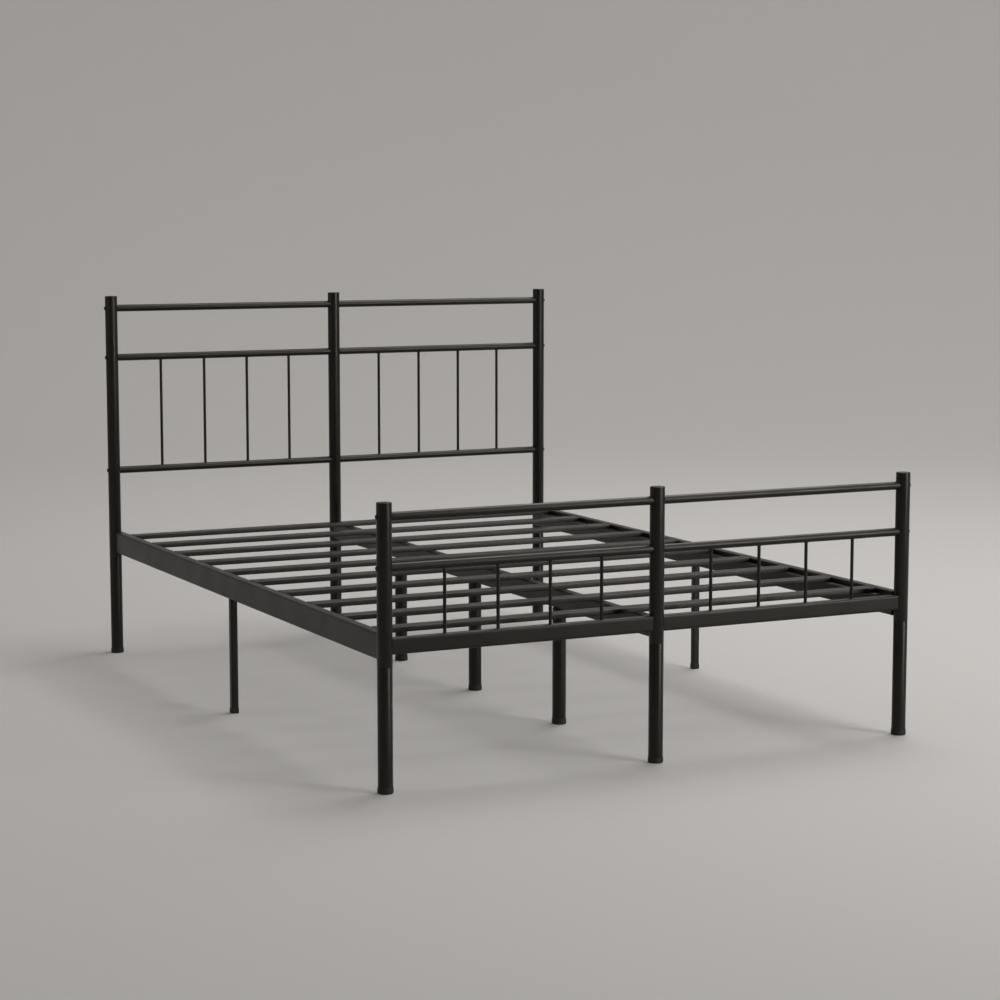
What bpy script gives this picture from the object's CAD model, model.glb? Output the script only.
"""Black metal bed frame: finished tubes, rails, spindles, slats, legs, pads and bolts, in a studio."""

import math

import bmesh
import bpy
from mathutils import Matrix, Vector


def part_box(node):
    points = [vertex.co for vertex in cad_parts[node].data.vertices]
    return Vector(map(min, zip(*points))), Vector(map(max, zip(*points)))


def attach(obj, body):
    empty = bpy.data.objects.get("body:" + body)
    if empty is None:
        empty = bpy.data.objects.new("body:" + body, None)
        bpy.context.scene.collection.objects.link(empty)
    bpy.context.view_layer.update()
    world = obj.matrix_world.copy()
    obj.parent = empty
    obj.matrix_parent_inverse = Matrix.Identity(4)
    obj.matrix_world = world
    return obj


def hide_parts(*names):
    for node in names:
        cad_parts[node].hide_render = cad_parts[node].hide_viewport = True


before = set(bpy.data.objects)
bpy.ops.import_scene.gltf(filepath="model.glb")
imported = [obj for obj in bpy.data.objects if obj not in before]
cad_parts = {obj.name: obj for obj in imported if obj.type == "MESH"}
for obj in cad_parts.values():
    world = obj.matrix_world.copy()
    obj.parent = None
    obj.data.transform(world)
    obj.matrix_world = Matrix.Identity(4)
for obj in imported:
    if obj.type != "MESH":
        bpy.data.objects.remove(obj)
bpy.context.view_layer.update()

# ---------------------------------------------------------------- places and sizes
ENDS = ("head", "foot")
SIDES = ("left", "centre", "right")
OUTER_SIDES = ("left", "right")
BOLTED_RAILS = {"head": ("top", "second", "lower"), "foot": ("top", "second")}
MM = 0.001

SEAM = 0.3 * MM  # paint and play between pieces that meet
TUBE_WALL = 1.5 * MM
ROUND_RAIL_WALL = 1.2 * MM
POST_TOP_THICKNESS = 3 * MM
POST_TOP_ROUNDING = 1.8 * MM
WELD_BITE = 3 * MM  # how far a tongue, a stub or a spindle runs into what it is welded to

SPIGOT_LENGTH = 35 * MM
STUD_RADIUS = 4 * MM
STUD_LENGTH = 12 * MM
LEG_CROWN = 3 * MM
SIDE_LEG_WALL = 1.2 * MM
SIDE_LEG_CORNER = 2.2 * MM

PAD_FLOOR = 4 * MM
PAD_RECESS = 0.6 * MM  # a round pad stands on its rim
PAD_RIM_WIDTH = 5 * MM
PAD_TAPER = 0.3 * MM
SQUARE_PAD_WALL = 0.6 * MM
SQUARE_PAD_CORNER = 2.6 * MM

SPINDLE_DIAMETER = 8 * MM
SPINDLES_PER_BAY = 4
END_RAIL_HEIGHT = 38 * MM
END_RAIL_TUCK = 7 * MM  # end rail's top below the top of the side rails
END_RAIL_CORNER = 4.5 * MM
PLUG_LENGTH = 20 * MM
BOLT_RADIUS = 3 * MM
BOLT_POINT = 0.8 * MM
SOCKET_WIDTH = 4 * MM  # hexagon across its flats
SOCKET_DEPTH = 1.8 * MM
SOCKET_LEAD_IN = 0.7 * MM

SIDE_RAIL_CORNER = 3.2 * MM
CENTRE_RAIL_CORNER = 3 * MM
LEDGE_WIDTH = 20 * MM
LEDGE_THICKNESS = 2.5 * MM
LEDGE_BITE = 1 * MM  # how far a ledge sinks into its rail's wall
STITCHES = 13
STITCH_LENGTH = 24 * MM
STITCH_RADIUS = 1.6 * MM
STITCH_OFFSET = 0.4 * MM
LONG_RAIL_TONGUE = 50 * MM
SIDE_TONGUE_INSET = 4 * MM
SIDE_TONGUE_THICKNESS = 8 * MM
ROUND_RAIL_STUB = 25 * MM
END_RAIL_STUB = 20 * MM
CENTRE_LEGS = 3
SLATS = 10
SLAT_WALL = 1.2 * MM
SLAT_CORNER = 2.4 * MM

POST_FACETS = 72
RAIL_FACETS = 48
SPINDLE_FACETS = 24
CREASE = math.radians(32)
ALONG_X = Matrix.Rotation(math.pi / 2, 4, "Y")
ALONG_Y = Matrix.Rotation(-math.pi / 2, 4, "X")
# Stands a flat sketch upright: its X runs along Y and its Y runs up Z.
ACROSS_UP = Matrix(((0, 0, 1, 0), (1, 0, 0, 0), (0, 1, 0, 0), (0, 0, 0, 1)))


def middle(node_name):
    low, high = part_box(node_name)
    return (low + high) / 2


def size(node_name):
    low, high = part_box(node_name)
    return high - low


POST_RADIUS = size("head_post_left").x / 2
LEG_RADIUS = size("head_leg_left").x / 2
RAIL_RADIUS = size("head_top_rail_left").z / 2
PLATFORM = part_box("side_rail_left")[1].z
RAIL_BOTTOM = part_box("side_rail_left")[0].z
LEG_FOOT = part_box("head_leg_left")[0].z
LEDGE_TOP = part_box("slat_01")[0].z - SEAM


def post_axis(end, side):
    centre = middle(f"{end}_leg_{side}_pad")
    return Vector((centre.x, centre.y, 0))


def rail_height(end, rail):
    return middle(f"{end}_bolt_left_{rail}").z


# ---------------------------------------------------------------- shaping
def move(bm, matrix):
    bmesh.ops.transform(bm, matrix=matrix, verts=bm.verts)
    return bm


def add(bm, *extras):
    """Takes other shapes into the piece as shells of their own."""
    for extra in extras:
        carrier = bpy.data.meshes.new("carrier")
        extra.to_mesh(carrier)
        extra.free()
        bm.from_mesh(carrier)
        bpy.data.meshes.remove(carrier)
    return bm


def tidy(bm):
    bmesh.ops.remove_doubles(bm, verts=bm.verts, dist=0.001 * MM)
    bmesh.ops.recalc_face_normals(bm, faces=bm.faces)
    return bm


def turned(outline, facets):
    """A round shape about Z from an outline of (radius, height).

    An outline that keeps off the axis is closed into a ring.
    """
    bm = bmesh.new()
    verts = [bm.verts.new((radius, 0, height)) for radius, height in outline]
    edges = [bm.edges.new(pair) for pair in zip(verts, verts[1:])]
    if outline[0][0] > 0 and outline[-1][0] > 0:
        edges.append(bm.edges.new((verts[-1], verts[0])))
    bmesh.ops.spin(
        bm,
        geom=verts + edges,
        axis=(0, 0, 1),
        cent=(0, 0, 0),
        angle=2 * math.pi,
        steps=facets,
        use_merge=True,
    )
    return tidy(bm)


def soften(bm, width, segments=3, where=None):
    """Rounds the sharp edges, or those of them that where() picks."""
    edges = [
        edge
        for edge in bm.edges
        if len(edge.link_faces) == 2
        and edge.calc_face_angle() > CREASE
        and (where is None or where(edge))
    ]
    bmesh.ops.bevel(
        bm,
        geom=edges,
        offset=width,
        segments=segments,
        profile=0.5,
        affect="EDGES",
        material=-1,
        clamp_overlap=True,
    )
    return bm


def at_height(low, high):
    """Picks edges that lie between two heights."""
    return lambda edge: all(low < vert.co.z < high for vert in edge.verts)


def rounded_face(bm, width, height, radius, arc_steps=4):
    """A flat rectangle in XY with rounded corners."""
    corners = ((-1, -1), (1, -1), (1, 1), (-1, 1))
    verts = [bm.verts.new((x * width / 2, y * height / 2, 0)) for x, y in corners]
    bm.faces.new(verts)
    bmesh.ops.bevel(
        bm,
        geom=verts,
        offset=radius,
        segments=arc_steps,
        profile=0.5,
        affect="VERTICES",
        material=-1,
    )


def drawn_out(bm, length):
    """Turns a flat sketch into a bar of that length along Z."""
    made = bmesh.ops.extrude_face_region(bm, geom=bm.faces[:])
    moved = [item for item in made["geom"] if isinstance(item, bmesh.types.BMVert)]
    bmesh.ops.translate(bm, verts=moved, vec=(0, 0, length))
    return tidy(bm)


def pulled(bm, length):
    """Turns a wire sketch into a skin of that length along Z."""
    made = bmesh.ops.extrude_edge_only(bm, edges=bm.edges[:])
    moved = [item for item in made["geom"] if isinstance(item, bmesh.types.BMVert)]
    bmesh.ops.translate(bm, verts=moved, vec=(0, 0, length))
    return bm


def walled(bm, wall):
    """Gives a skin its wall, inwards."""
    bmesh.ops.recalc_face_normals(bm, faces=bm.faces)
    bmesh.ops.solidify(bm, geom=bm.faces[:], thickness=wall)
    return tidy(bm)


def bar(width, height, length, radius, edge=0.4 * MM):
    """A solid bar along Z with rounded corners and eased ends."""
    bm = bmesh.new()
    rounded_face(bm, width, height, radius)
    drawn_out(bm, length)
    return soften(bm, edge, 2, lambda e: abs(e.verts[0].co.z - e.verts[1].co.z) < MM / 10)


def round_skin(radius, facets, length):
    bm = bmesh.new()
    bmesh.ops.create_circle(bm, cap_ends=False, radius=radius, segments=facets)
    return pulled(bm, length)


def box_skin(width, height, radius, length):
    """The outer skin of a rectangular tube along Z, with points along its flats for coping."""
    bm = bmesh.new()
    rounded_face(bm, width, height, radius)
    bmesh.ops.delete(bm, geom=bm.faces[:], context="FACES_ONLY")
    flats = [edge for edge in bm.edges if edge.calc_length() > radius * 1.2]
    bmesh.ops.subdivide_edges(bm, edges=flats, cuts=9)
    return pulled(bm, length)


def cope(bm, axis, radius, along, limit=None):
    """Saddles the end of a tube, which lies along X or Y, against an upright post.

    The end is the ring of points that lies nearest the post's axis.
    """
    across = 1 - along
    reach = min(abs(vert.co[along] - axis[along]) for vert in bm.verts)
    ring = [v for v in bm.verts if abs(v.co[along] - axis[along]) < reach + MM]
    others = [v for v in bm.verts if v not in ring]
    away = math.copysign(1, others[0].co[along] - axis[along])
    for vert in ring:
        off = vert.co[across] - axis[across]
        depth = math.sqrt(max(radius**2 - off**2, 0)) + SEAM
        vert.co[along] = axis[along] + away * max(depth, limit or 0)
    return bm


# ---------------------------------------------------------------- surfaces
def new_group(name, inputs, outputs):
    """An empty shader group with named number, colour and vector sockets."""
    group = bpy.data.node_groups.new(name, "ShaderNodeTree")
    kinds = {"number": "NodeSocketFloat", "colour": "NodeSocketColor", "vector": "NodeSocketVector"}
    for socket, kind in inputs.items():
        group.interface.new_socket(name=socket, in_out="INPUT", socket_type=kinds[kind])
    for socket, kind in outputs.items():
        group.interface.new_socket(name=socket, in_out="OUTPUT", socket_type=kinds[kind])
    return group, group.nodes.new("NodeGroupInput"), group.nodes.new("NodeGroupOutput")


def node(tree, kind, links=None, **settings):
    """Adds a node, sets its properties, and fills its inputs with values or other nodes' outputs."""
    made = tree.nodes.new(kind)
    for key, value in settings.items():
        setattr(made, key, value)
    for key, value in (links or {}).items():
        if isinstance(value, bpy.types.NodeSocket):
            tree.links.new(value, made.inputs[key])
        else:
            made.inputs[key].default_value = value
    return made


def maths(tree, operation, first, second=0.0, third=0.0, clamp=False):
    made = node(
        tree, "ShaderNodeMath", {0: first, 1: second, 2: third}, operation=operation, use_clamp=clamp
    )
    return made.outputs[0]


def ramp(tree, value, low, high):
    """Rises smoothly from 0 at low to 1 at high."""
    made = node(
        tree,
        "ShaderNodeMapRange",
        {"Value": value, "From Min": low, "From Max": high},
        interpolation_type="SMOOTHSTEP",
    )
    return made.outputs["Result"]


def noise(tree, place, scale, detail=2.0, roughness=0.5):
    made = node(
        tree,
        "ShaderNodeTexNoise",
        {"Vector": place, "Scale": scale, "Detail": detail, "Roughness": roughness},
    )
    return made.outputs["Fac"]


def mixed(tree, factor, first, second):
    made = node(tree, "ShaderNodeMix", data_type="RGBA")
    for socket, value in ((0, factor), (6, first), (7, second)):
        if isinstance(value, bpy.types.NodeSocket):
            tree.links.new(value, made.inputs[socket])
        else:
            made.inputs[socket].default_value = value
    return made.outputs[2]


def grain_group():
    """Orange peel and fine grain of a baked powder coat: a height, and a mask of its slow variation."""
    group, given, put = new_group(
        "coat_grain",
        {"Place": "vector", "Peel Scale": "number", "Grain Scale": "number", "Grain Share": "number"},
        {"Height": "number", "Drift": "number", "Speckle": "number"},
    )
    place = given.outputs["Place"]
    peel = noise(group, place, given.outputs["Peel Scale"], 1.5, 0.45)
    grain = noise(group, place, given.outputs["Grain Scale"], 3.0, 0.6)
    share = given.outputs["Grain Share"]
    peel_part = maths(group, "MULTIPLY", peel, maths(group, "SUBTRACT", 1.0, share))
    height = maths(group, "MULTIPLY_ADD", grain, share, peel_part)
    drift = noise(group, place, 9.0, 4.0, 0.55)
    group.links.new(height, put.inputs["Height"])
    group.links.new(ramp(group, drift, 0.3, 0.7), put.inputs["Drift"])
    group.links.new(ramp(group, grain, 0.58, 0.72), put.inputs["Speckle"])
    return group


def edge_group():
    """A mask of the outer edges that hands and bedding rub, broken up so that it isn't a clean line."""
    group, given, put = new_group(
        "edge_rub", {"Place": "vector", "Width": "number"}, {"Mask": "number"}
    )
    rounded = node(group, "ShaderNodeBevel", {"Radius": given.outputs["Width"]}, samples=4)
    geometry = node(group, "ShaderNodeNewGeometry")
    facing = node(
        group,
        "ShaderNodeVectorMath",
        {0: rounded.outputs["Normal"], 1: geometry.outputs["Normal"]},
        operation="DOT_PRODUCT",
    )
    turn = ramp(group, facing.outputs["Value"], 0.995, 0.93)
    patches = ramp(group, noise(group, given.outputs["Place"], 60.0, 5.0, 0.65), 0.42, 0.68)
    group.links.new(maths(group, "MULTIPLY", turn, patches), put.inputs["Mask"])
    return group


def dust_group():
    """A thin veil of dust that lies on whatever faces up."""
    group, given, put = new_group("settled_dust", {"Place": "vector"}, {"Mask": "number"})
    geometry = node(group, "ShaderNodeNewGeometry")
    split = node(group, "ShaderNodeSeparateXYZ", {"Vector": geometry.outputs["Normal"]})
    upwards = ramp(group, split.outputs["Z"], 0.55, 1.0)
    clouds = ramp(group, noise(group, given.outputs["Place"], 22.0, 5.0, 0.6), 0.35, 0.75)
    motes = ramp(group, noise(group, given.outputs["Place"], 1900.0, 1.0, 0.5), 0.55, 0.75)
    veil = maths(group, "MULTIPLY", upwards, maths(group, "MULTIPLY_ADD", clouds, 0.6, 0.2))
    lying = maths(group, "MULTIPLY", veil, maths(group, "MULTIPLY_ADD", motes, 0.7, 0.3))
    group.links.new(lying, put.inputs["Mask"])
    return group


GLOSS_LEVEL = 0.30
WARM_GLOSS = (1.0, 0.96, 0.87, 1)
DRIFT_LIFT = 1.35
SPECKLE_LIFT = 2.2
SPECKLE_SHARE = 0.25
ROUGHNESS_DRIFT = 0.09
RUB_WIDTH = 1.2 * MM
RUB_POLISH = 0.12
DUST_COLOUR = (0.30, 0.285, 0.265, 1)
DUST_DULLING = 0.5


def lightened(colour, times):
    return (*[min(1.0, part * times) for part in colour], 1)


def placed_group(tree, group, place, **numbers):
    """Puts a surface effect into a material, with its numbers named as in the group."""
    made = node(tree, "ShaderNodeGroup", node_tree=group)
    tree.links.new(place, made.inputs["Place"])
    for socket, number in numbers.items():
        made.inputs[socket.replace("_", " ").title()].default_value = number
    return made.outputs


def finish_material(name, colour, rub_colour, roughness, depth, grain, dust=0.14, rub=0.35, metallic=0.0):
    """A painted, moulded or blackened surface with grain, worn edges and dust."""
    material = bpy.data.materials.new(name)
    material.use_nodes = True
    tree = material.node_tree
    shader = tree.nodes["Principled BSDF"]
    shader.inputs["Metallic"].default_value = metallic
    shader.inputs["Specular IOR Level"].default_value = GLOSS_LEVEL
    shader.inputs["Specular Tint"].default_value = WARM_GLOSS
    place = node(tree, "ShaderNodeTexCoord").outputs["Object"]
    coat = placed_group(tree, GRAIN, place, **grain)
    worn = placed_group(tree, EDGES, place, width=RUB_WIDTH)
    veil = placed_group(tree, DUST, place)

    base = mixed(tree, coat["Drift"], lightened(colour, 1), lightened(colour, DRIFT_LIFT))
    speckle = maths(tree, "MULTIPLY", coat["Speckle"], SPECKLE_SHARE)
    speckled = mixed(tree, speckle, base, lightened(colour, SPECKLE_LIFT))
    rub_mask = maths(tree, "MULTIPLY", worn["Mask"], rub)
    rubbed = mixed(tree, rub_mask, speckled, (*rub_colour, 1))
    dust_mask = maths(tree, "MULTIPLY", veil["Mask"], dust)
    dusty = mixed(tree, dust_mask, rubbed, DUST_COLOUR)
    tree.links.new(dusty, shader.inputs["Base Color"])

    drifted = maths(tree, "MULTIPLY_ADD", coat["Drift"], ROUGHNESS_DRIFT, roughness - ROUGHNESS_DRIFT / 2)
    polished = maths(tree, "MULTIPLY_ADD", rub_mask, -RUB_POLISH, drifted)
    dulled = maths(tree, "MULTIPLY_ADD", dust_mask, DUST_DULLING, polished, clamp=True)
    tree.links.new(dulled, shader.inputs["Roughness"])

    bump = node(
        tree,
        "ShaderNodeBump",
        {"Height": coat["Height"], "Strength": 1.0, "Distance": depth},
    )
    tree.links.new(bump.outputs["Normal"], shader.inputs["Normal"])
    return material


# ---------------------------------------------------------------- putting pieces on the frame
def piece(name, bm, finish, *nodes):
    """Makes a finished piece that stands for the nodes named."""
    tidy(bm)
    mesh = bpy.data.meshes.new(name)
    bm.to_mesh(mesh)
    bm.free()
    mesh.materials.append(FINISHES[finish])
    mesh.shade_smooth()
    mesh.set_sharp_from_angle(angle=CREASE)
    made = bpy.data.objects.new(name, mesh)
    bpy.context.scene.collection.objects.link(made)
    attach(made, "root")
    if nodes:
        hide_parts(*nodes)
    return made


COAT, MOULDED, BLACKED = "black_powder_coat", "black_plastic", "black_bolt"
GRAIN, EDGES, DUST = grain_group(), edge_group(), dust_group()
FINISHES = {
    COAT: finish_material(
        "baked_powder_coat",
        colour=(0.0040, 0.0038, 0.0035),
        rub_colour=(0.075, 0.073, 0.070),
        roughness=0.35,
        depth=0.12 * MM,
        grain={"peel_scale": 520.0, "grain_scale": 2300.0, "grain_share": 0.35},
    ),
    MOULDED: finish_material(
        "moulded_foot_plastic",
        colour=(0.012, 0.012, 0.012),
        rub_colour=(0.05, 0.049, 0.047),
        roughness=0.58,
        depth=0.03 * MM,
        grain={"peel_scale": 900.0, "grain_scale": 3200.0, "grain_share": 0.7},
        dust=0.3,
    ),
    BLACKED: finish_material(
        "blackened_bolt_steel",
        colour=(0.020, 0.020, 0.021),
        rub_colour=(0.22, 0.21, 0.20),
        roughness=0.33,
        depth=0.01 * MM,
        grain={"peel_scale": 1500.0, "grain_scale": 4000.0, "grain_share": 0.8},
        dust=0.15,
        rub=0.6,
        metallic=0.7,
    ),
}


# ---------------------------------------------------------------- posts and legs
def block(low, high):
    """A solid box between two corners with eased edges."""
    bm = bmesh.new()
    spread = [b - a for a, b in zip(low, high)]
    centre = [(a + b) / 2 for a, b in zip(low, high)]
    bmesh.ops.create_cube(bm, size=1, matrix=Matrix.LocRotScale(centre, None, spread))
    return soften(bm, 0.5 * MM, 2)


def long_rail_tongue(end, side):
    """The tongue that a side rail, or the centre rail, slides over."""
    axis = post_axis(end, side)
    inside = TUBE_WALL + SEAM
    if side == "centre":
        half = size("centre_rail").x / 2 - inside
        low_x, high_x = -half, half
        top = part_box("centre_rail")[1].z - inside
    else:
        low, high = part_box(f"side_rail_{side}")
        inwards = -math.copysign(1, axis.x)
        face = low.x if inwards > 0 else high.x
        near = face + inwards * SIDE_TONGUE_INSET
        far = near + inwards * SIDE_TONGUE_THICKNESS
        low_x, high_x = min(near, far), max(near, far)
        top = PLATFORM - inside
    away = -math.copysign(1, axis.y)
    root = axis.y + away * (POST_RADIUS - WELD_BITE)
    tip = axis.y + away * (POST_RADIUS + LONG_RAIL_TONGUE)
    return block((low_x, min(root, tip), RAIL_BOTTOM + inside), (high_x, max(root, tip), top))


def round_stubs(end):
    """Short tubes through a centre post that its round rails slide over."""
    axis = post_axis(end, "centre")
    outside = RAIL_RADIUS - ROUND_RAIL_WALL - SEAM
    inside = outside - TUBE_WALL
    reach = POST_RADIUS + ROUND_RAIL_STUB
    outline = [(outside, -reach), (outside, reach), (inside, reach), (inside, -reach)]
    for rail in BOLTED_RAILS[end]:
        place = Matrix.Translation((axis.x, axis.y, rail_height(end, rail)))
        yield move(turned(outline, SPINDLE_FACETS), place @ ALONG_X)


def end_rail_stubs(side):
    """The flat stubs on a foot post that the end rails slide over, one towards each bay."""
    axis = post_axis("foot", side)
    half_depth = size("foot_spindle_panel_left").y / 2 - TUBE_WALL - SEAM
    half_height = END_RAIL_HEIGHT / 2 - TUBE_WALL - SEAM
    z = PLATFORM - END_RAIL_TUCK - END_RAIL_HEIGHT / 2
    reach = POST_RADIUS + END_RAIL_STUB
    root = POST_RADIUS - WELD_BITE
    for way in (-1, 1):
        if side != "centre" and way == math.copysign(1, axis.x):
            continue
        near, far = axis.x + way * root, axis.x + way * reach
        yield block(
            (min(near, far), axis.y - half_depth, z - half_height),
            (max(near, far), axis.y + half_depth, z + half_height),
        )


def post(end, side):
    """A tube with a ground, welded-in top and a deburred lower end."""
    node_name = f"{end}_post_{side}"
    low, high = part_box(node_name)
    bore = POST_RADIUS - TUBE_WALL
    bottom, top = low.z, high.z
    outline = [
        (0, top - POST_TOP_THICKNESS),
        (bore, top - POST_TOP_THICKNESS),
        (bore, bottom),
        (POST_RADIUS, bottom),
        (POST_RADIUS, top),
        (0, top),
    ]
    shape = turned(outline, POST_FACETS)
    soften(shape, POST_TOP_ROUNDING, 5, at_height(top - MM, top + MM))
    soften(shape, 0.4 * MM, 2, at_height(bottom - MM, bottom + MM))
    move(shape, Matrix.Translation(post_axis(end, side)))
    add(shape, long_rail_tongue(end, side))
    if side == "centre":
        add(shape, *round_stubs(end))
    if end == "foot":
        add(shape, *end_rail_stubs(side))
    piece(f"{node_name}_tube", shape, COAT, node_name)


def post_leg_outline(shoulder):
    """A tube that stands in its pad, with its upper end drawn in to a spigot inside the post."""
    bore = LEG_RADIUS - TUBE_WALL
    spigot = POST_RADIUS - TUBE_WALL - SEAM
    return [
        (bore, LEG_FOOT),
        (LEG_RADIUS, LEG_FOOT),
        (LEG_RADIUS, shoulder),
        (spigot, shoulder),
        (spigot, shoulder + SPIGOT_LENGTH),
        (spigot - TUBE_WALL, shoulder + SPIGOT_LENGTH),
        (spigot - TUBE_WALL, shoulder - 2 * TUBE_WALL),
        (bore, shoulder - 2 * TUBE_WALL - 2 * MM),
    ]


def centre_leg_outline(top):
    """A tube that stands in its pad, with a crown that carries a stud."""
    bore = LEG_RADIUS - TUBE_WALL
    return [
        (0, top - LEG_CROWN),
        (bore, top - LEG_CROWN),
        (bore, LEG_FOOT),
        (LEG_RADIUS, LEG_FOOT),
        (LEG_RADIUS, top),
        (STUD_RADIUS, top),
        (STUD_RADIUS, top + STUD_LENGTH),
        (0, top + STUD_LENGTH),
    ]


def round_pad(node_name):
    """A push-on cup, a little narrower at its mouth, that stands on a chamfered rim."""
    low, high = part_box(node_name)
    outer = (high.x - low.x) / 2
    inner = LEG_RADIUS + SEAM
    rim = outer - PAD_RIM_WIDTH
    tall = high.z - low.z
    outline = [
        (0, PAD_RECESS),
        (rim - 0.4 * MM, PAD_RECESS),
        (rim, 0),
        (outer - 1.2 * MM, 0),
        (outer, 1.4 * MM),
        (outer, 0.35 * tall),
        (outer - PAD_TAPER, tall),
        (inner, tall),
        (inner, PAD_FLOOR),
        (0, PAD_FLOOR),
    ]
    shape = soften(turned(outline, POST_FACETS), 0.2 * MM, 3)
    centre = middle(node_name)
    move(shape, Matrix.Translation((centre.x, centre.y, 0)))
    piece(f"{node_name}_cup", shape, MOULDED, node_name)


def post_leg(end, side):
    node_name = f"{end}_leg_{side}"
    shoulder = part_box(f"{end}_post_{side}")[0].z - SEAM
    shape = turned(post_leg_outline(shoulder), POST_FACETS)
    soften(shape, 0.5 * MM, 2, at_height(shoulder - MM, shoulder + MM))
    move(shape, Matrix.Translation(post_axis(end, side)))
    piece(f"{node_name}_tube", shape, COAT, node_name)
    round_pad(f"{node_name}_pad")


def centre_leg(number):
    node_name = f"centre_leg_{number}"
    low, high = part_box(node_name)
    top = RAIL_BOTTOM - SEAM
    shape = turned(centre_leg_outline(top), POST_FACETS)
    level = at_height(top - MM, top + MM)
    soften(shape, 1.2 * MM, 4, lambda edge: level(edge) and edge.verts[0].co.xy.length > 10 * MM)
    move(shape, Matrix.Translation(((low.x + high.x) / 2, (low.y + high.y) / 2, 0)))
    piece(f"{node_name}_tube", shape, COAT, node_name)
    round_pad(f"{node_name}_pad")


def square_tube(width, wall, radius, low, high):
    skin = bmesh.new()
    rounded_face(skin, width, width, radius)
    bmesh.ops.delete(skin, geom=skin.faces[:], context="FACES_ONLY")
    pulled(skin, high - low)
    walled(skin, wall)
    return move(skin, Matrix.Translation((0, 0, low)))


def side_leg(side):
    """A square tube with a welded crown and a stud."""
    node_name = f"side_leg_{side}"
    low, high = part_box(node_name)
    width = high.x - low.x
    top = RAIL_BOTTOM - SEAM
    shape = square_tube(width, SIDE_LEG_WALL, SIDE_LEG_CORNER, low.z, top - SIDE_LEG_WALL)
    crown = bar(width, width, LEG_CROWN, SIDE_LEG_CORNER, 0.8 * MM)
    move(crown, Matrix.Translation((0, 0, top - LEG_CROWN)))
    root = top - MM
    stud = turned([(0, root), (STUD_RADIUS, root), (STUD_RADIUS, high.z), (0, high.z)], SPINDLE_FACETS)
    add(shape, crown, stud)
    move(shape, Matrix.Translation(((low.x + high.x) / 2, (low.y + high.y) / 2, 0)))
    piece(f"{node_name}_tube", shape, COAT, node_name)
    square_pad(f"{node_name}_pad", width)


def square_pad(node_name, leg_width):
    """A push-on square cup with an eased underside."""
    low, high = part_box(node_name)
    outer = leg_width + 2 * (SEAM + SQUARE_PAD_WALL)
    tall = high.z - low.z
    shape = bmesh.new()
    rounded_face(shape, outer, outer, SQUARE_PAD_CORNER, 5)
    drawn_out(shape, tall)
    mouth = [face for face in shape.faces if face.normal.z > 0.9]
    bmesh.ops.inset_region(shape, faces=mouth, thickness=SQUARE_PAD_WALL, use_even_offset=True)
    made = bmesh.ops.extrude_face_region(shape, geom=mouth)
    sunk = [item for item in made["geom"] if isinstance(item, bmesh.types.BMVert)]
    bmesh.ops.translate(shape, verts=sunk, vec=(0, 0, PAD_FLOOR - tall))
    bmesh.ops.delete(shape, geom=mouth, context="FACES")
    soften(shape, 1.2 * MM, 3, at_height(-MM, MM))
    move(shape, Matrix.Translation(((low.x + high.x) / 2, (low.y + high.y) / 2, low.z)))
    piece(f"{node_name}_cup", shape, MOULDED, node_name)


# ---------------------------------------------------------------- headboard and footboard
def bay(end, side):
    """The axes of the two posts that a bay's rails lie between, left one first."""
    pair = (post_axis(end, side), post_axis(end, "centre"))
    return sorted(pair, key=lambda axis: axis.x)


def round_rail(end, side, height):
    """A tube coped to its two posts, with the plug in its outer end."""
    left, right = bay(end, side)
    skin = round_skin(RAIL_RADIUS, RAIL_FACETS, right.x - left.x)
    move(skin, Matrix.Translation((left.x, left.y, height)) @ ALONG_X)
    cope(skin, left, POST_RADIUS, 0)
    cope(skin, right, POST_RADIUS, 0)
    walled(skin, ROUND_RAIL_WALL)
    return add(skin, rail_plug(post_axis(end, side), height))


def rail_plug(axis, height):
    """The threaded plug pressed into the outer end of a round rail."""
    inwards = -math.copysign(1, axis.x)
    near, far = POST_RADIUS + MM, POST_RADIUS + PLUG_LENGTH
    outside = RAIL_RADIUS - ROUND_RAIL_WALL / 2
    outline = [(outside, near), (outside, far), (BOLT_RADIUS + SEAM, far), (BOLT_RADIUS + SEAM, near)]
    turn = Matrix.Rotation(inwards * math.pi / 2, 4, "Y")
    return move(turned(outline, SPINDLE_FACETS), Matrix.Translation((axis.x, axis.y, height)) @ turn)


def end_rail(end, side):
    """The flat rail that closes the footboard's panel at the bottom."""
    left, right = bay(end, side)
    depth = size(f"{end}_spindle_panel_{side}").y
    skin = box_skin(END_RAIL_HEIGHT, depth, END_RAIL_CORNER, right.x - left.x)
    z = PLATFORM - END_RAIL_TUCK - END_RAIL_HEIGHT / 2
    move(skin, Matrix.Translation((left.x, left.y, z)) @ ALONG_X)
    cope(skin, left, POST_RADIUS, 0)
    cope(skin, right, POST_RADIUS, 0)
    return walled(skin, TUBE_WALL)


def weld_collar(x, y, rail_z, rail_radius, upwards):
    """A small fillet of weld where a spindle meets a rail, laid on the rail's round or flat surface."""
    radius = SPINDLE_DIAMETER / 2
    outline = [
        (radius + 1.5 * MM, -0.6 * MM),
        (radius + 1.1 * MM, 0.4 * MM),
        (radius + 0.5 * MM, 0.9 * MM),
        (radius - 0.2 * MM, 1.7 * MM),
        (radius - 0.6 * MM, -0.6 * MM),
    ]
    shape = turned(outline, SPINDLE_FACETS)
    for vert in shape.verts:
        vert.co.z += math.sqrt(max(rail_radius**2 - vert.co.y**2, 0))
    if not upwards:
        move(shape, Matrix.Scale(-1, 4, (0, 0, 1)))
    return move(tidy(shape), Matrix.Translation((x, y, rail_z)))


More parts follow.
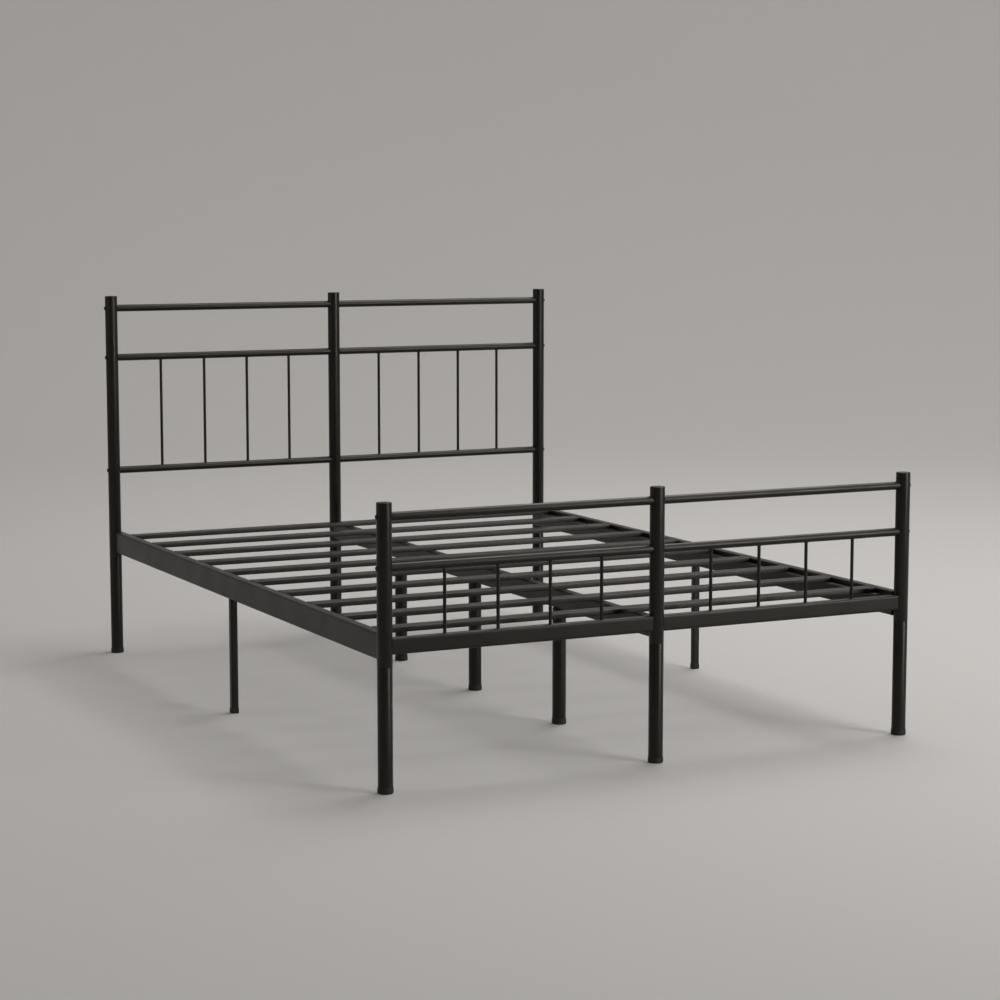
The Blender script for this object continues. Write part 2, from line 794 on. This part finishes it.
def spindle_places(end, side):
    left, right = bay(end, side)
    clear = right.x - left.x - 2 * POST_RADIUS - SPINDLES_PER_BAY * SPINDLE_DIAMETER
    space = clear / (SPINDLES_PER_BAY + 1)
    first = left.x + POST_RADIUS + space + SPINDLE_DIAMETER / 2
    return [first + i * (space + SPINDLE_DIAMETER) for i in range(SPINDLES_PER_BAY)]


def spindle(x, y, low, high):
    shape = turned(
        [(0, low), (SPINDLE_DIAMETER / 2, low), (SPINDLE_DIAMETER / 2, high), (0, high)],
        SPINDLE_FACETS,
    )
    return move(shape, Matrix.Translation((x, y, 0)))


def spindle_panel(end, side):
    """Second rail, spindles and lower rail, welded."""
    node_name = f"{end}_spindle_panel_{side}"
    second = rail_height(end, "second")
    y = post_axis(end, side).y
    shape = round_rail(end, side, second)
    if end == "head":
        lower = rail_height(end, "lower")
        add(shape, round_rail(end, side, lower))
        seat_z, seat_radius, foot = lower, RAIL_RADIUS, lower + RAIL_RADIUS
    else:
        add(shape, end_rail(end, side))
        foot = PLATFORM - END_RAIL_TUCK
        seat_z, seat_radius = foot, 0
    for x in spindle_places(end, side):
        add(
            shape,
            spindle(x, y, foot - WELD_BITE, second - RAIL_RADIUS + WELD_BITE),
            weld_collar(x, y, second, RAIL_RADIUS, False),
            weld_collar(x, y, seat_z, seat_radius, True),
        )
    piece(f"{node_name}_welded", shape, COAT, node_name)


def top_rail(end, side):
    node_name = f"{end}_top_rail_{side}"
    piece(f"{node_name}_tube", round_rail(end, side, rail_height(end, "top")), COAT, node_name)


def open_edges(shape):
    return [edge for edge in shape.edges if edge.is_boundary]


def hex_socket(shape, z):
    """Turns the open round mouth of a bolt's head into a hexagon socket with a floor."""
    made = bmesh.ops.extrude_edge_only(shape, edges=open_edges(shape))
    mouth = [item for item in made["geom"] if isinstance(item, bmesh.types.BMVert)]
    for vert in mouth:
        turn = math.atan2(vert.co.y, vert.co.x) % (math.pi / 3) - math.pi / 6
        vert.co.xy = vert.co.xy.normalized() * (SOCKET_WIDTH / 2 / math.cos(turn))
        vert.co.z = z - 0.25 * MM
    made = bmesh.ops.extrude_edge_only(shape, edges=open_edges(shape))
    floor = [item for item in made["geom"] if isinstance(item, bmesh.types.BMVert)]
    bmesh.ops.translate(shape, verts=floor, vec=(0, 0, -SOCKET_DEPTH))
    bmesh.ops.holes_fill(shape, edges=open_edges(shape), sides=0)
    return shape


def domed_head(seat, radius, height, mouth, steps=7):
    """Outline of a button head from its seat up to its mouth."""
    skirt = 0.3 * height
    arc = [math.radians(90) * i / steps for i in range(steps + 1)]
    dome = [
        (mouth + (radius - mouth) * math.cos(a), seat + skirt + (height - skirt) * math.sin(a))
        for a in arc
    ]
    return [(radius, seat), *dome]


def bolt(end, side, rail):
    """A button-head bolt through an outer post into its rail's plug."""
    node_name = f"{end}_bolt_{side}_{rail}"
    low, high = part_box(node_name)
    axis = post_axis(end, side)
    outwards = math.copysign(1, axis.x)
    inner, outer = sorted((outwards * (low.x - axis.x), outwards * (high.x - axis.x)))
    seat = POST_RADIUS + SEAM
    radius = (high.z - low.z) / 2
    outline = [
        (0, inner),
        (BOLT_RADIUS - BOLT_POINT, inner),
        (BOLT_RADIUS, inner + BOLT_POINT),
        (BOLT_RADIUS, seat),
        *domed_head(seat, radius, outer - seat, SOCKET_WIDTH / 2 + SOCKET_LEAD_IN),
    ]
    shape = hex_socket(turned(outline, RAIL_FACETS), outer)
    turn = Matrix.Rotation(outwards * math.pi / 2, 4, "Y")
    move(shape, Matrix.Translation((axis.x, axis.y, middle(node_name).z)) @ turn)
    piece(f"{node_name}_button", shape, BLACKED, node_name)


# ---------------------------------------------------------------- side rails, centre rail and slats
def weld_stitch(x, y, z):
    """A short bead of weld along Y."""
    bead = bmesh.new()
    bmesh.ops.create_uvsphere(bead, u_segments=12, v_segments=8, radius=1)
    turn = Matrix.Rotation(math.pi / 2, 4, "X")
    sized = Matrix.Diagonal((STITCH_RADIUS, STITCH_LENGTH / 2, STITCH_RADIUS, 1))
    return move(bead, Matrix.Translation((x, y, z)) @ sized @ turn)


def side_rail(side):
    """A rectangular tube between the posts, with a ledge along its inner side."""
    node_name = f"side_rail_{side}"
    low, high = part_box(node_name)
    inwards = -math.copysign(1, low.x + high.x)
    outer_face = low.x if inwards > 0 else high.x
    width = size(node_name).x - LEDGE_WIDTH
    inner_face = outer_face + inwards * width
    skin = box_skin(width, high.z - low.z, SIDE_RAIL_CORNER, high.y - low.y)
    x = outer_face + inwards * width / 2
    move(skin, Matrix.Translation((x, low.y, (low.z + high.z) / 2)) @ ALONG_Y)
    end_limit = post_axis("head", side).y - high.y
    for end in ENDS:
        cope(skin, post_axis(end, side), POST_RADIUS, 1, end_limit)
    walled(skin, TUBE_WALL)
    add(skin, ledge(inner_face, inwards), *ledge_stitches(inner_face, inwards))
    piece(f"{node_name}_tube", skin, COAT, node_name)


def ledge(inner_face, inwards):
    """The flat strip that the slats lie on, sunk a little into the rail."""
    width = LEDGE_WIDTH + LEDGE_BITE
    length = ledge_span()
    strip = bar(width, LEDGE_THICKNESS, length, 0.8 * MM)
    x = inner_face + inwards * (width / 2 - LEDGE_BITE)
    z = LEDGE_TOP - LEDGE_THICKNESS / 2
    return move(strip, Matrix.Translation((x, -length / 2, z)) @ ALONG_Y)


def ledge_stitches(inner_face, inwards):
    """Beads of weld under the ledge, evenly spaced along it."""
    x = inner_face + inwards * STITCH_OFFSET
    z = LEDGE_TOP - LEDGE_THICKNESS - STITCH_OFFSET
    for number in range(STITCHES):
        yield weld_stitch(x, ledge_span() * ((number + 0.5) / STITCHES - 0.5), z)


def ledge_span():
    """Length of the ledges, which stop short of the posts and the end rail."""
    end_rail_depth = size("foot_spindle_panel_left").y
    return 2 * (post_axis("head", "left").y - 2 * POST_RADIUS - end_rail_depth)


def centre_rail():
    """A rectangular tube between the centre posts."""
    low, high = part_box("centre_rail")
    skin = box_skin(high.x - low.x, high.z - low.z, CENTRE_RAIL_CORNER, high.y - low.y)
    move(skin, Matrix.Translation((0, low.y, (low.z + high.z) / 2)) @ ALONG_Y)
    for end in ENDS:
        cope(skin, post_axis(end, "centre"), POST_RADIUS, 1)
    piece("centre_rail_tube", walled(skin, TUBE_WALL), COAT, "centre_rail")


def slat(number):
    """A rolled channel, flat on top and open below."""
    node_name = f"slat_{number:02d}"
    low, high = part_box(node_name)
    half, depth = (high.y - low.y) / 2, high.z - low.z
    section = ((-half, -depth), (-half, 0), (half, 0), (half, -depth))
    skin = bmesh.new()
    corners = [skin.verts.new((y, z, 0)) for y, z in section]
    for pair in zip(corners, corners[1:]):
        skin.edges.new(pair)
    bmesh.ops.bevel(
        skin,
        geom=corners[1:3],
        offset=SLAT_CORNER,
        segments=4,
        profile=0.5,
        affect="VERTICES",
        material=-1,
    )
    pulled(skin, high.x - low.x)
    move(skin, Matrix.Translation((low.x, (low.y + high.y) / 2, high.z)) @ ACROSS_UP)
    piece(f"{node_name}_channel", walled(skin, SLAT_WALL), COAT, node_name)


# ---------------------------------------------------------------- the whole frame
for end in ENDS:
    for side in SIDES:
        post(end, side)
        post_leg(end, side)
    for side in OUTER_SIDES:
        top_rail(end, side)
        spindle_panel(end, side)
        for rail in BOLTED_RAILS[end]:
            bolt(end, side, rail)
for side in OUTER_SIDES:
    side_rail(side)
    side_leg(side)
centre_rail()
for number in range(1, CENTRE_LEGS + 1):
    centre_leg(number)
for number in range(1, SLATS + 1):
    slat(number)


# ---------------------------------------------------------------- studio
FLOOR_DROP = 0.1 * MM
SWEEP_REACH = 14.0
SWEEP_BEND = 7.5
SWEEP_TOP = 9.5
PAPER = (0.52, 0.503, 0.487, 1)
WASH_WATTS = (185, 190, 70, 45, 60, 66, 95, 150)  # all round from +X, over +Y first


def studio():
    """A round, pale sweep that rises gently all round the frame."""
    steps = 20
    arc = [math.radians(90) * step / steps for step in range(1, steps + 1)]
    flat_edge = SWEEP_REACH - SWEEP_BEND
    outline = [
        (0, -FLOOR_DROP),
        (flat_edge, -FLOOR_DROP),
        *[(flat_edge + SWEEP_BEND * math.sin(a), SWEEP_BEND * (1 - math.cos(a))) for a in arc],
        (SWEEP_REACH, SWEEP_TOP),
    ]
    sweep = turned(outline, 96)
    bmesh.ops.reverse_faces(sweep, faces=sweep.faces)
    mesh = bpy.data.meshes.new("studio_sweep")
    sweep.to_mesh(mesh)
    sweep.free()
    mesh.shade_smooth()
    material = bpy.data.materials.new("studio_paper")
    material.use_nodes = True
    shader = material.node_tree.nodes["Principled BSDF"]
    shader.inputs["Base Color"].default_value = PAPER
    shader.inputs["Roughness"].default_value = 0.9
    shader.inputs["Specular IOR Level"].default_value = 0.15
    mesh.materials.append(material)
    sheet = bpy.data.objects.new("studio_sweep", mesh)
    bpy.context.scene.collection.objects.link(sheet)


def softbox(name, place, target, width, height, watts, spread=180):
    """A rectangle of light that faces its target and stays out of the picture."""
    light = bpy.data.lights.new(name, "AREA")
    light.shape = "RECTANGLE"
    light.size, light.size_y = width, height
    light.energy = watts
    light.spread = math.radians(spread)
    holder = bpy.data.objects.new(name, light)
    holder.location = place
    holder.rotation_euler = (Vector(target) - Vector(place)).to_track_quat("-Z", "Y").to_euler()
    holder.visible_camera = False
    bpy.context.scene.collection.objects.link(holder)


def lighting():
    """Soft light on the frame, and a ring of lights on the sweep round it."""
    world = bpy.data.worlds.new("studio_air")
    world.use_nodes = True
    air = world.node_tree.nodes["Background"]
    air.inputs["Color"].default_value = (1.0, 0.985, 0.96, 1)
    air.inputs["Strength"].default_value = 0.27
    bpy.context.scene.world = world
    softbox("overhead_softbox", (2.3, 0.6, 5.2), (0, 0, 0.3), 3.4, 3.4, 185)
    softbox("front_softbox", (2.6, -3.8, 4.4), (0.2, -0.6, 0.4), 2.8, 1.4, 42)
    softbox("left_softbox", (-5.2, 0.6, 2.3), (0, 0, 0.5), 2.0, 3.0, 16)
    softbox("right_softbox", (3.4, -5.6, 1.8), (0, 0, 0.5), 1.5, 2.8, 22, spread=70)
    for number, watts in enumerate(WASH_WATTS, 1):
        turn = math.radians(360) * (number - 0.5) / len(WASH_WATTS)
        place = (5.5 * math.cos(turn), 5.5 * math.sin(turn), 8.0)
        target = (12.5 * math.cos(turn), 12.5 * math.sin(turn), 2.5)
        softbox(f"sweep_wash_{number}", place, target, 3.0, 1.5, watts)


def camera():
    """Looks from beyond the left foot corner, from a little above the headboard."""
    lens = bpy.data.cameras.new("camera")
    lens.sensor_width = 36.0
    lens.lens = 88.6
    lens.clip_end = 100
    holder = bpy.data.objects.new("camera", lens)
    holder.location = (-2.8505, -5.8889, 1.2994)
    holder.rotation_euler = (math.radians(90 - 6.828), 0, math.radians(-26.419))
    bpy.context.scene.collection.objects.link(holder)
    bpy.context.scene.camera = holder


studio()
lighting()
camera()
bpy.context.scene.view_settings.view_transform = "Standard"
